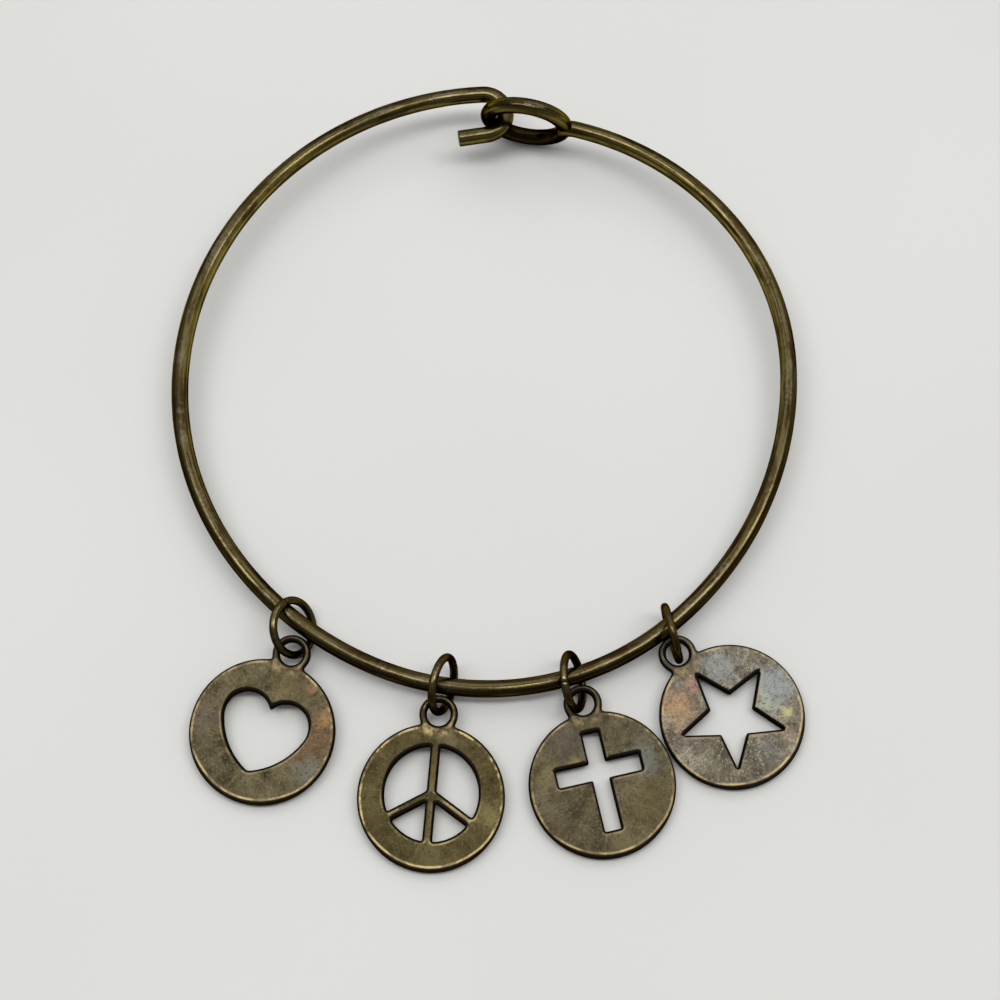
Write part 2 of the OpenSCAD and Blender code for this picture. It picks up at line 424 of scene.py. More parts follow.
@dataclass(frozen=True)
class WireBronze:
    """Drawn wire with a dark bronze patina, paler along its top and near black below, which is painted light
    and shade as well as wear.

    A patch and a speck are noises: their lumps for each metre, their detail and their roughness.
    Distances are in millimetres and the relief is in metres.
    """

    name: str
    top: Colour = (0.118, 0.095, 0.041)
    flank: Colour = (0.112, 0.084, 0.024)
    clasp_sheen: Colour = (0.19, 0.148, 0.04)
    inner_reflection: Colour = (0.46, 0.37, 0.09)
    side: Colour = (0.014, 0.009, 0.003)
    streak: Colour = (0.05, 0.032, 0.011)
    wear_and_sheen: Colour = (0.2, 0.17, 0.11)
    edge: Span = (0.3, 0.25, 0.12, 1.0)
    roughness: float = 0.115
    wear: float = 0.4
    relief: float = 0.00004
    streaks: Point = (0.16, 2.2)
    lines: Point = (0.06, 13.0)
    drawing: Cloud = (1.0, 3.0, 0.6)
    patch: Cloud = (260.0, 3.0, 0.6)
    speck: Cloud = (2600.0, 2.0, 0.6)
    waviness: float = 0.4
    crown: Point = (0.7, 0.98)
    flank_rise: Point = (0.05, 0.6)
    outer_shade: Point = (-0.3, -0.6)
    clasp_sheen_ragged: float = 30.0
    clasp_sheen_half: Point = (-14.0, 16.0)
    inner_reflection_end: Point = (28.0, 24.0)
    inner_reflection_band: Span = (0.4, 0.55, 0.8, 0.95)
    eye_shade_side: Point = (26.0, 28.0)
    eye_shade_low: Point = (4.2, 2.9)

    def material(self) -> bpy.types.Material:
        """Builds the finish on the wire's own length and turn and on its place.

        Returns:
            The material.
        """
        material = bpy.data.materials.new(self.name)
        sheet = emptied(material)
        place = sheet.place("ShaderNodeTexCoord").outputs["Object"]
        along = sheet.attribute(Groove.ALONG.value)
        around = sheet.attribute(Groove.AROUND.value)
        drawn, fine = (
            sheet.noise(sheet.node("ShaderNodeCombineXYZ", None, {
                "X": along * length, "Y": around * turn, "Z": turn,
            }), *self.drawing) for length, turn in (self.streaks, self.lines)
        )
        patch = sheet.noise(place, *self.patch)
        speck = sheet.noise(place, *self.speck)
        across, height = (sheet.part(place, axis) / MM for axis in "YZ")
        normal = sheet.place("ShaderNodeNewGeometry").outputs["Normal"]
        outward = sheet.vector("NORMALIZE", sheet.vector("MULTIPLY", place, (1, 1, 0)))
        inward = 0.0 - sheet.vector("DOT_PRODUCT", normal, outward)
        # Painted light and shade over the patina: the colour follows how the surface faces up, pale on the
        # crown and near black below.
        wavy = sheet.part(normal, "Z") + (patch - 0.5) * self.waviness
        crown = wavy.step(*self.crown)
        # Painted light: the half by the clasp is paler and more golden, and its inner flank carries a painted
        # golden reflection.
        clasp_sheen = (across + (patch - 0.5) * self.clasp_sheen_ragged).step(*self.clasp_sheen_half)
        inner_reflection = clasp_sheen * inward.between(*self.inner_reflection_band) * across.step(*self.inner_reflection_end)
        colour = sheet.layered(self.side, [
            ((wavy + clasp_sheen * 0.22).step(*self.flank_rise), sheet.blend(clasp_sheen, self.flank, self.clasp_sheen)),
            (crown, self.top),
            # painted golden reflection on the inner flank near the clasp
            (inner_reflection * 0.8, self.inner_reflection),
            # painted shade on the outer flank of the half with the charms
            (inward.step(*self.outer_shade) * (1.0 - clasp_sheen) * 0.6, self.side),
            (drawn.step(0.47, 0.6) * 0.8, self.streak),
            (fine.step(0.5, 0.58) * 0.7, self.side),
            # wear with painted highlights on the crown
            ((patch * 0.6 + speck * 0.4).step(0.5, 0.64) * self.wear * crown, self.wear_and_sheen),
            (speck.step(0.42, 0.3) * 0.4, self.side),
            # painted shade with tarnish: the lower half of the eye, near the floor, is near black
            (across.step(*self.eye_shade_side) * height.step(*self.eye_shade_low) * 0.93, self.side),
        ])
        rough = self.roughness + patch * 0.1 + speck * 0.06
        end_finish(
            sheet, drawn * 0.25 + fine * 0.5 + speck * 0.25, self.relief,
            {"Base Color": colour, "Roughness": rough}, {"Metallic": 1.0, "Specular Tint": self.edge},
        )
        return material


@dataclass(frozen=True)
class PaleSheet:
    """The plain pale floor."""

    name: str = "pale_floor"
    colour: Colour = (0.80, 0.80, 0.775)
    fleck: Colour = (0.77, 0.77, 0.745)
    cloud: Cloud = (14.0, 2.0, 0.5)
    grain: Cloud = (900.0, 2.0, 0.5)
    roughness: float = 0.55
    shine: float = 0.25
    relief: float = 0.00002

    def material(self) -> bpy.types.Material:
        """Builds the finish with faint clouds and a fine grain.

        Returns:
            The material.
        """
        material = bpy.data.materials.new(self.name)
        sheet = emptied(material)
        place = sheet.place("ShaderNodeTexCoord").outputs["Object"]
        cloud, grain = (sheet.noise(place, *spread) for spread in (self.cloud, self.grain))
        colour = sheet.blend(cloud.step(0.3, 0.7), self.colour, self.fleck)
        end_finish(
            sheet, grain, self.relief,
            {"Base Color": colour, "Roughness": grain * 0.2 + self.roughness},
            {"Specular IOR Level": self.shine},
        )
        return material


# Paths and outlines

ARC_STEPS = 4
ARC_TURN = 6.0
END_STEPS = (1.0, 0.8, 0.6, 0.42, 0.27, 0.15, 0.06)


@dataclass(frozen=True)
class Arc:
    """An arc of the wire's path in a plane, its radius and its turn positive to the left."""

    start: np.ndarray
    course: float
    radius: float
    turn: float

    @classmethod
    def through(cls, start: np.ndarray, course: float, end: np.ndarray) -> "Arc":
        """Makes the arc between two points.

        Args:
            start: The first point.
            course: The heading there, in degrees.
            end: The last point.

        Returns:
            The arc.
        """
        chord = end - start
        side = np.array([-heading(course)[1], heading(course)[0]])
        bend = math.degrees(math.atan2(chord[1], chord[0])) - course
        bend -= 360 * round(bend / 360)
        return cls(start, course, float(chord @ chord / (2 * (chord @ side))), 2 * bend)

    def point(self, turn: float) -> np.ndarray:
        """Returns the point after a turn in degrees."""
        middle = self.start + self.radius * heading(self.course + 90)
        return middle - self.radius * heading(self.course + turn + 90)

    @property
    def end(self) -> np.ndarray:
        """Returns the arc's last point."""
        return self.point(self.turn)

    @property
    def length(self) -> float:
        """Returns the arc's length."""
        return math.radians(self.radius * self.turn)

    def points(self, pitch: float) -> np.ndarray:
        """Returns points along the arc, a pitch apart or less, with both ends."""
        count = max(ARC_STEPS, math.ceil(self.length / pitch), math.ceil(abs(self.turn) / ARC_TURN))
        return np.array([self.point(t) for t in np.linspace(0, self.turn, count + 1)])


def two_arcs(start: np.ndarray, course: float, end: np.ndarray, arrival: float) -> list[Arc]:
    """Joins two points by two tangent arcs.

    Args:
        start: The first point.
        course: The heading there, in degrees.
        end: The last point.
        arrival: The heading there, in degrees.

    Returns:
        The two arcs.
    """
    chord = end - start
    both = heading(course) + heading(arrival)
    k = 2 * (1 - heading(course) @ heading(arrival))
    d = (math.sqrt((chord @ both) ** 2 + k * (chord @ chord)) - chord @ both) / k
    meeting = (start + end + d * (heading(course) - heading(arrival))) / 2
    first = Arc.through(start, course, meeting)
    return [first, Arc.through(meeting, course + first.turn, end)]


def joined(arcs: list[Arc], pitch: float) -> np.ndarray:
    """Returns the points along a chain of arcs, each meeting point once."""
    runs = [arc.points(pitch) for arc in arcs]
    return np.vstack([runs[0]] + [run[1:] for run in runs[1:]])


def in_space(points: np.ndarray, place: Matrix) -> np.ndarray:
    """Lifts points of a plane into space.

    Args:
        points: Rows of x and y.
        place: Where the plane lies.

    Returns:
        Rows of x, y and z.
    """
    return np.array([place @ Vector((x, y, 0)) for x, y in points])


def arc_points(middle: Point, radius: float, first: float, last: float) -> list[np.ndarray]:
    """Returns points of a circle from one angle to another, in degrees, about two degrees apart."""
    count = max(3, round(abs(last - first) / 2))
    return [np.array(middle) + radius * heading(a) for a in np.linspace(first, last, count)]


def softened(corners: list, pitch: float, softness: float) -> np.ndarray:
    """Turns a closed line with sharp corners into an evenly spaced one with rounded corners.

    Args:
        corners: Points of the closed line.
        pitch: Spacing of the new points.
        softness: Reach of the rounding, about two thirds of the radius at a right angle.

    Returns:
        The new points.
    """
    line = np.array(corners, float)
    ring = np.vstack([line, line[:1]])
    run = np.concatenate([[0], np.cumsum(np.linalg.norm(np.diff(ring, axis=0), axis=1))])
    count = round(run[-1] / pitch)
    even = np.linspace(0, run[-1], count, endpoint=False)
    spaced = np.column_stack([np.interp(even, run, ring[:, k]) for k in (0, 1)])
    step = run[-1] / count
    waves = np.fft.fftfreq(count, step)
    damping = np.exp(-2 * (math.pi * waves * softness) ** 2)
    smooth = np.fft.ifft(np.fft.fft(spaced[:, 0] + 1j * spaced[:, 1]) * damping)
    return np.column_stack([smooth.real, smooth.imag])


def inside(points: np.ndarray, loops: list[np.ndarray]) -> np.ndarray:
    """Tells which points lie inside a plate.

    Args:
        points: Rows of x and y.
        loops: The plate's closed outline and those of its holes.

    Returns:
        True for each point that is inside.
    """
    crossings = np.zeros(len(points), int)
    x, y = points[:, 0], points[:, 1]
    for loop in loops:
        for (ax, ay), (bx, by) in zip(loop, np.roll(loop, -1, axis=0)):
            spans = (ay > y) != (by > y)
            reach = ax + (y - ay) * (bx - ax) / ((by - ay) or 1e-12)
            crossings += spans & (x < reach)
    return crossings % 2 == 1


def nearby(points: np.ndarray) -> kdtree.KDTree:
    """Gets points ready for the search of the nearest.

    Args:
        points: Rows of x and y.

    Returns:
        The tree to search in.
    """
    tree = kdtree.KDTree(len(points))
    for number, (x, y) in enumerate(points):
        tree.insert((x, y, 0), number)
    tree.balance()
    return tree


def linked(name: str, data: bpy.types.ID) -> bpy.types.Object:
    """Makes an object of a mesh, a lamp or a camera and puts it in the scene.

    Args:
        name: The object's name.
        data: What it shows.

    Returns:
        The object.
    """
    made = bpy.data.objects.new(name, data)
    bpy.context.scene.collection.objects.link(made)
    return made


def mesh_object(name: str, points: np.ndarray, faces: list, place: Matrix) -> bpy.types.Object:
    """Makes an object whose place is in its mesh.

    Args:
        name: The object's name.
        points: Rows of x, y and z in millimetres.
        faces: Lists of point numbers.
        place: Where the points' own frame lies, in millimetres.

    Returns:
        The object, in metres.
    """
    mesh = bpy.data.meshes.new(name)
    mesh.from_pydata([MM * (place @ Vector(p)) for p in points], [], faces)
    mesh.shade_smooth()
    return linked(name, mesh)


def seated(piece: bpy.types.Object, node: str) -> None:
    """Puts a finished piece in the place of its solid.

    Args:
        piece: The finished piece.
        node: The solid that it replaces.
    """
    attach(piece, "root")
    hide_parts(node)
    LOG.info("%s: %d faces in place of %s", piece.name, len(piece.data.polygons), node)


# Wire made by Geometry Nodes


class WireTree:
    """The Geometry Nodes trees that draw round wire along a path and bend it into jump rings."""

    WIRE_SIZES = {
        "Wire Radius": "NodeSocketFloat", "Sides": "NodeSocketInt", "End Rounding": "NodeSocketFloat",
        "Unevenness": "NodeSocketFloat", "Lump Size": "NodeSocketFloat", "Seed": "NodeSocketFloat",
        "Finish": "NodeSocketMaterial",
    }

    def __init__(self) -> None:
        """Builds the trees."""
        self.drawn = self.draw_tree()
        self.ring = self.ring_tree()
        self.path = self.path_tree()

    @staticmethod
    def sized_tree(name: str, sizes: dict[str, str]) -> tuple[bpy.types.NodeTree, NodeSheet, dict[str, Term]]:
        """Starts a tree with named inputs.

        Args:
            name: The tree's name.
            sizes: The kind of socket for each input's name.

        Returns:
            The tree, its sheet and the inputs as terms by name.
        """
        tree = bpy.data.node_groups.new(name, "GeometryNodeTree")
        tree.interface.new_socket("Geometry", in_out="OUTPUT", socket_type="NodeSocketGeometry")
        tree.interface.new_socket("Geometry", in_out="INPUT", socket_type="NodeSocketGeometry")
        for title, kind in sizes.items():
            tree.interface.new_socket(title, in_out="INPUT", socket_type=kind)
        sheet = NodeSheet(tree)
        source = sheet.place("NodeGroupInput")
        return tree, sheet, {s.name: Term(sheet, s) for s in source.outputs if s.name}

    def draw_tree(self) -> bpy.types.NodeTree:
        """Builds the tree that draws wire along a curve, its cut ends rounded and its run uneven.

        Returns:
            The tree.
        """
        tree, sheet, given = self.sized_tree("drawn_wire", self.WIRE_SIZES)
        spline = sheet.place("GeometryNodeSplineParameter")
        run, factor = (Term(sheet, spline.outputs[name]) for name in ("Length", "Factor"))
        whole = Term(sheet, sheet.place("GeometryNodeSplineLength").outputs["Length"])
        to_end = run.least(whole - run)
        inward = (1.0 - (to_end / given["End Rounding"]).least(1.0)).most(0.0)
        round_end = 1.0 - (1.0 - inward * inward).math("SQRT")
        scale = 1.0 - round_end * given["End Rounding"] / given["Wire Radius"]
        path = self.stored(sheet, given["Geometry"], Groove.ALONG, run / MM)
        circle = sheet.node("GeometryNodeCurvePrimitiveCircle", {"mode": "RADIUS"}, {
            "Resolution": given["Sides"], "Radius": given["Wire Radius"],
        })
        fold = 1.0 - (factor * 2.0 - 1.0).math("ABSOLUTE")
        profile = self.stored(sheet, circle, Groove.AROUND, fold)
        tube = sheet.node("GeometryNodeCurveToMesh", None, {
            "Curve": path, "Profile Curve": profile, "Scale": scale, "Fill Caps": True,
        })
        position = sheet.node("GeometryNodeInputPosition")
        lumps = sheet.noise(position, 1.0 / given["Lump Size"], seed=given["Seed"])
        normal = sheet.node("GeometryNodeInputNormal")
        offset = sheet.node("ShaderNodeVectorMath", {"operation": "SCALE"}, {
            "Vector": normal, "Scale": (lumps - 0.5) * given["Unevenness"],
        })
        uneven = sheet.node("GeometryNodeSetPosition", None, {"Geometry": tube, "Offset": offset})
        self.end_tree(sheet, uneven, given["Finish"])
        return tree

    def ring_tree(self) -> bpy.types.NodeTree:
        """Builds the tree that bends one jump ring with its cut and puts it in its place.

        Returns:
            The tree.
        """
        tree, sheet, given = self.sized_tree("jump_ring", {
            **self.WIRE_SIZES, "Ring Radius": "NodeSocketFloat", "Cut Width": "NodeSocketFloat",
            "Cut Turn": "NodeSocketFloat", "Place": "NodeSocketVector", "Attitude": "NodeSocketRotation",
            "Steps": "NodeSocketInt",
        })
        cut = given["Cut Width"] / given["Ring Radius"]
        arc = sheet.node("GeometryNodeCurveArc", {"mode": "RADIUS"}, {
            "Resolution": given["Steps"], "Radius": given["Ring Radius"],
            "Start Angle": given["Cut Turn"] + cut * 0.5, "Sweep Angle": 2 * math.pi - cut,
        })
        placed = sheet.node("GeometryNodeTransform", {"mode": "COMPONENTS"}, {
            "Geometry": self.along(sheet, given, arc), "Translation": given["Place"],
            "Rotation": given["Attitude"],
        })
        self.end_tree(sheet, placed, given["Finish"])
        return tree

    def path_tree(self) -> bpy.types.NodeTree:
        """Builds the tree that turns a chain of edges into a curve and draws the wire along it.

        Returns:
            The tree.
        """
        tree, sheet, given = self.sized_tree("wire_on_path", self.WIRE_SIZES)
        curve = sheet.node("GeometryNodeMeshToCurve", None, {0: given["Geometry"]})
        self.end_tree(sheet, self.along(sheet, given, curve), given["Finish"])
        return tree

    def along(self, sheet: NodeSheet, given: dict[str, Term], curve: Term) -> Term:
        """Draws wire along a curve inside another tree, with that tree's own inputs for its sizes."""
        sizes = {name: given[name] for name in self.WIRE_SIZES}
        return sheet.node("GeometryNodeGroup", {"node_tree": self.drawn}, {**sizes, "Geometry": curve})

    @staticmethod
    def stored(sheet: NodeSheet, shape: Term, groove: Groove, value: Term) -> Term:
        """Stores a number at each point of a curve, by the name of a groove."""
        sockets = {"Geometry": shape, "Name": groove.value, "Value": value}
        return sheet.node(
            "GeometryNodeStoreNamedAttribute", {"data_type": "FLOAT", "domain": "POINT"}, sockets
        )

    @staticmethod
    def end_tree(sheet: NodeSheet, shape: Term, finish: Term) -> None:
        """Ends a tree in smooth shading, Realize Instances and Set Material.

        Args:
            sheet: The tree's sheet.
            shape: The finished shape.
            finish: Its material.
        """
        smooth = sheet.node("GeometryNodeSetShadeSmooth", None, {"Geometry": shape})
        real = sheet.node("GeometryNodeRealizeInstances", None, {"Geometry": smooth})
        dressed = sheet.node("GeometryNodeSetMaterial", None, {"Geometry": real, "Material": finish})
        sheet.place("NodeGroupOutput", None, {0: dressed})

    @staticmethod
    def made(name: str, tree: bpy.types.NodeTree, start: bpy.types.Mesh, sizes: dict) -> bpy.types.Object:
        """Runs a tree and keeps its result as a plain mesh.

        Args:
            name: The new object's name.
            tree: The tree to run.
            start: The mesh that the tree starts from.
            sizes: A value for each of the tree's inputs, by name.

        Returns:
            The new object.
        """
        carrier = linked(name + "_path", start)
        modifier = carrier.modifiers.new("shape", "NODES")
        modifier.node_group = tree
        for item in tree.interface.items_tree:
            if item.in_out == "INPUT" and item.name in sizes:
                modifier[item.identifier] = sizes[item.name]
        evaluated = carrier.evaluated_get(bpy.context.evaluated_depsgraph_get())
        mesh = bpy.data.meshes.new_from_object(evaluated)
        mesh.name = name
        bpy.data.objects.remove(carrier)
        return linked(name, mesh)


class Wire:
    """What the bangle and the jump rings share as pieces of drawn wire."""

    def wire_sizes(self, finish: WireBronze) -> dict:
        """Returns the values of the inputs that every tree for wire has."""
        return {
            "Wire Radius": self.wire_r * MM, "Sides": self.sides, "End Rounding": self.end_round * MM,
            "Unevenness": self.unevenness * MM, "Lump Size": self.lump * MM, "Seed": self.seed,
            "Finish": finish.material(),
        }


@dataclass
class Bangle(Wire):
    """The wire: the hook, the hoop through its four stations, the kinked neck and the eye."""

    wire_d: float = 1.8
    inner_w: float = 63.6
    inner_l: float = 66.2
    wire_lift: float = 1.3
    eye_in_r: float = 3.4
    eye_lean: float = 5.0
    eye_turn: float = -10.0
    neck_in_r: float = 0.3
    hook_in_r: float = 1.6
    hook_bend: float = 174.0
    hook_tail: float = 3.2
    clasp_gap: float = 0.12
    base_heading: float = -21.0
    hook_heading: float = 3.0
    neck_heading: float = 166.0
    base_share: Point = (-0.315, -0.932)
    right_share: float = 0.04
    hook_share: float = -0.01
    pitch: float = 0.3
    sides: int = 28
    end_round: float = 0.16
    unevenness: float = 0.035
    lump: float = 4.5
    seed: float = 3.0

    def __post_init__(self) -> None:
        """Works out the stations, the clasp and the hoop's plane."""
        self.wire_r = self.wire_d / 2
        self.half_w = (self.inner_w + self.wire_d) / 2
        self.half_l = (self.inner_l + self.wire_d) / 2
        self.base = np.array(self.base_share) * (self.half_w, self.half_l)
        self.hook_r = self.hook_in_r + self.wire_r
        hook_point = np.array([self.hook_share * self.half_w, self.half_l])
        self.eye_r = self.eye_in_r + self.wire_r
        self.neck_r = self.neck_in_r + self.wire_r
        hook_middle = hook_point - self.hook_r * heading(self.hook_heading + 90)
        held = self.hook_r - self.wire_d - self.clasp_gap + self.eye_r
        self.eye_middle = hook_middle + held * heading(self.eye_turn)
        self.neck_reach = math.sqrt((self.neck_r + self.eye_r) ** 2 - self.neck_r ** 2)
        neck_point = self.eye_middle + self.neck_reach * heading(self.eye_turn)
        right = np.array([self.half_w, self.right_share * self.half_l])
        left = np.array([-self.half_w, 0.0])
        self.charm_side = two_arcs(self.base, self.base_heading, right, 90)
        self.right_arcs = self.charm_side + two_arcs(right, 90, neck_point, self.neck_heading)
        self.left_arcs = two_arcs(self.base, self.base_heading + 180, left, 90)
        self.left_arcs += two_arcs(left, 90, hook_point, self.hook_heading)
        self.left_arcs.append(Arc(hook_point, self.hook_heading, -self.hook_r, -self.hook_bend))
        eye_height = self.eye_r * math.cos(math.radians(self.eye_lean)) + self.wire_r
        low_height = self.wire_lift + self.wire_r
        rise = (eye_height - low_height) / (self.eye_middle[1] + self.half_l)
        self.tilt = math.degrees(math.asin(rise))
        self.plane = moved(0, 0, low_height + self.half_l * rise) @ turned(self.tilt, "X")

    def tail(self) -> np.ndarray:
        """Spaces the points of the hook's straight end, closer together at its cut.

        Returns:
            The points in the hoop's plane.
        """
        bend = self.left_arcs[-1]
        ahead = heading(self.hook_heading - self.hook_bend)
        runs = [*np.arange(self.pitch, self.hook_tail - self.end_round, self.pitch)]
        runs += [self.hook_tail - self.end_round * share for share in (*END_STEPS, 0.0)]
        return np.array([bend.end + r * ahead for r in runs])

    def eye(self) -> np.ndarray:
        """Spaces the points of the neck and the eye, closer together at the cut.

        Returns:
            The points in space, from the end of the hoop.
        """
        neck_bend = math.degrees(math.acos(self.neck_r / (self.neck_r + self.eye_r)))
        across = self.neck_r + self.eye_r
        outer = self.eye_r + self.wire_r
        stop = self.neck_r + self.wire_r + self.clasp_gap
        last = math.degrees(math.acos((across ** 2 + outer ** 2 - stop ** 2) / (2 * across * outer)))
        neck = Arc(np.array([self.neck_reach, 0.0]), 180, self.neck_r, neck_bend)
        full = Arc(neck.end, 180 + neck_bend, -self.eye_r, last - 360)
        flat = joined([neck, full], self.pitch)
        close = self.end_round / math.radians(self.eye_r)
        ends = [full.point(full.turn + close * share) for share in END_STEPS]
        flat = np.vstack([flat[:-1], ends, flat[-1:]])
        x, y = self.eye_middle
        place = self.plane @ moved(x, y, 0) @ turned(self.eye_turn, "Z") @ turned(90 + self.eye_lean, "X")
        return in_space(flat, place)

    def path(self) -> np.ndarray:
        """Joins the hook, the hoop, the neck and the eye.

        Returns:
            The wire's middle line, from the cut of the hook to the cut of the eye.
        """
        left = np.vstack([joined(self.left_arcs, self.pitch), self.tail()])
        right = joined(self.right_arcs, self.pitch)
        hoop = in_space(np.vstack([left[::-1], right[1:]]), self.plane)
        return np.vstack([hoop, self.eye()[1:]])

    def wire_at(self, run: float) -> tuple[np.ndarray, float]:
        """Finds a place on the wire.

        Args:
            run: Distance along the wire from its lowest station, to the left if negative.

        Returns:
            The point in the hoop's plane and the wire's heading to the right there, in degrees.
        """
        arc, rest = self.left_arcs[0], -run
        if run >= 0:
            first = self.charm_side[0]
            arc, rest = (first, run) if run < first.length else (self.charm_side[1], run - first.length)
        turn = math.degrees(rest / arc.radius)
        return arc.point(turn), arc.course + turn - (180 if run < 0 else 0)

    def build(self, trees: WireTree, finish: WireBronze) -> bpy.types.Object:
        """Draws the wire along its path.

        Args:
            trees: The trees that draw it.
            finish: Its finish.

        Returns:
            The finished wire.
        """
        points = self.path() * MM
        mesh = bpy.data.meshes.new("bangle_path")
        mesh.from_pydata(points.tolist(), [(i, i + 1) for i in range(len(points) - 1)], [])
        return trees.made("bangle_wire", trees.path, mesh, self.wire_sizes(finish))

    def dress(self, trees: WireTree, finish: WireBronze) -> None:
        """Builds the wire in the place of its solid."""
        seated(self.build(trees, finish), "bangle")


class Motif(Enum):
    """What is cut out of a charm."""

    HEART = "heart"
    PEACE = "peace"
    CROSS = "cross"
    STAR = "star"


@dataclass(frozen=True)
class Hang:
    """Where one jump ring and its charm lie, with shares as in the part's table."""

    run: float
    slip: float
    ring_turn: float
    ring_rise: float
    thread: Place
    prop: float
    charm_turn: float
    cut_turn: float


@dataclass
class JumpRing(Wire):
    """A round jump ring of thin wire, threaded on the bangle and through a charm's loop."""

    motif: Motif
    hang: Hang
    bangle: Bangle
    wire_d: float = 0.85
    in_d: float = 4.8
    cut: float = 0.1
    clasp_gap: float = 0.12
    loop_t: float = 1.0
    loop_in_d: float = 2.4
    steps: int = 150
    sides: int = 20
    end_round: float = 0.05
    unevenness: float = 0.04
    lump: float = 1.6
    seed: float = 5.0

    def __post_init__(self) -> None:
        """Works out the heights and the place of the ring."""
        self.wire_r = self.wire_d / 2
        self.radius = self.in_d / 2 + self.wire_r
        self.seat = self.wire_d * (1 + self.hang.prop) + self.clasp_gap + self.loop_t / 2
        near = self.seat + self.hang.thread[2] * self.loop_in_d
        rise = math.radians(self.hang.ring_rise)
        point, course = self.bangle.wire_at(self.hang.run * self.bangle.inner_w)
        point = point - self.hang.slip * self.in_d * heading(course + 90)
        tilt = math.cos(math.radians(self.bangle.tilt))
        self.place = np.array([point[0], point[1] * tilt, near + self.radius * math.sin(rise)])
        a = (near - self.wire_r) / self.radius
        lift = math.sqrt(a * a + 2 * a * math.sin(rise)) / math.cos(rise)
        self.roll = math.degrees(math.asin(min(1, lift)))

    def loop_place(self) -> np.ndarray:
        """Works out where the ring holds the charm.

        Returns:
            The middle of the charm's loop.
        """
        rise = math.radians(self.hang.ring_rise)
        level = math.cos(rise) * heading(self.hang.ring_turn)
        near = self.place - self.radius * np.array([*level, math.sin(rise)])
        return near - self.loop_in_d * np.array(self.hang.thread)

    def build(self, trees: WireTree, finish: WireBronze) -> bpy.types.Object:
        """Bends the ring by its tree.

        Args:
            trees: The trees that draw it.
            finish: Its finish.

        Returns:
            The finished ring.
        """
        hang = self.hang
        attitude = turned(hang.ring_turn, "Z") @ turned(-hang.ring_rise, "Y") @ turned(self.roll, "X")
        start = bpy.data.meshes.new("ring_start")
        return trees.made(f"jump_ring_{self.motif.value}_wire", trees.ring, start, {
            **self.wire_sizes(finish), "Ring Radius": self.radius * MM, "Cut Width": self.cut * MM,
            "Cut Turn": math.radians(hang.cut_turn), "Place": (self.place * MM).tolist(),
            "Attitude": attitude.to_euler(), "Steps": self.steps,
        })

    def dress(self, trees: WireTree, finish: WireBronze) -> None:
        """Builds the ring in the place of its solid."""
        seated(self.build(trees, finish), f"jump_ring_{self.motif.value}")


@dataclass(frozen=True)
class Dent:
    """A pit or a hollow from wear in a charm's face, in millimetres from the middle of the disc."""

    place: Point
    reach: float
    depth: float


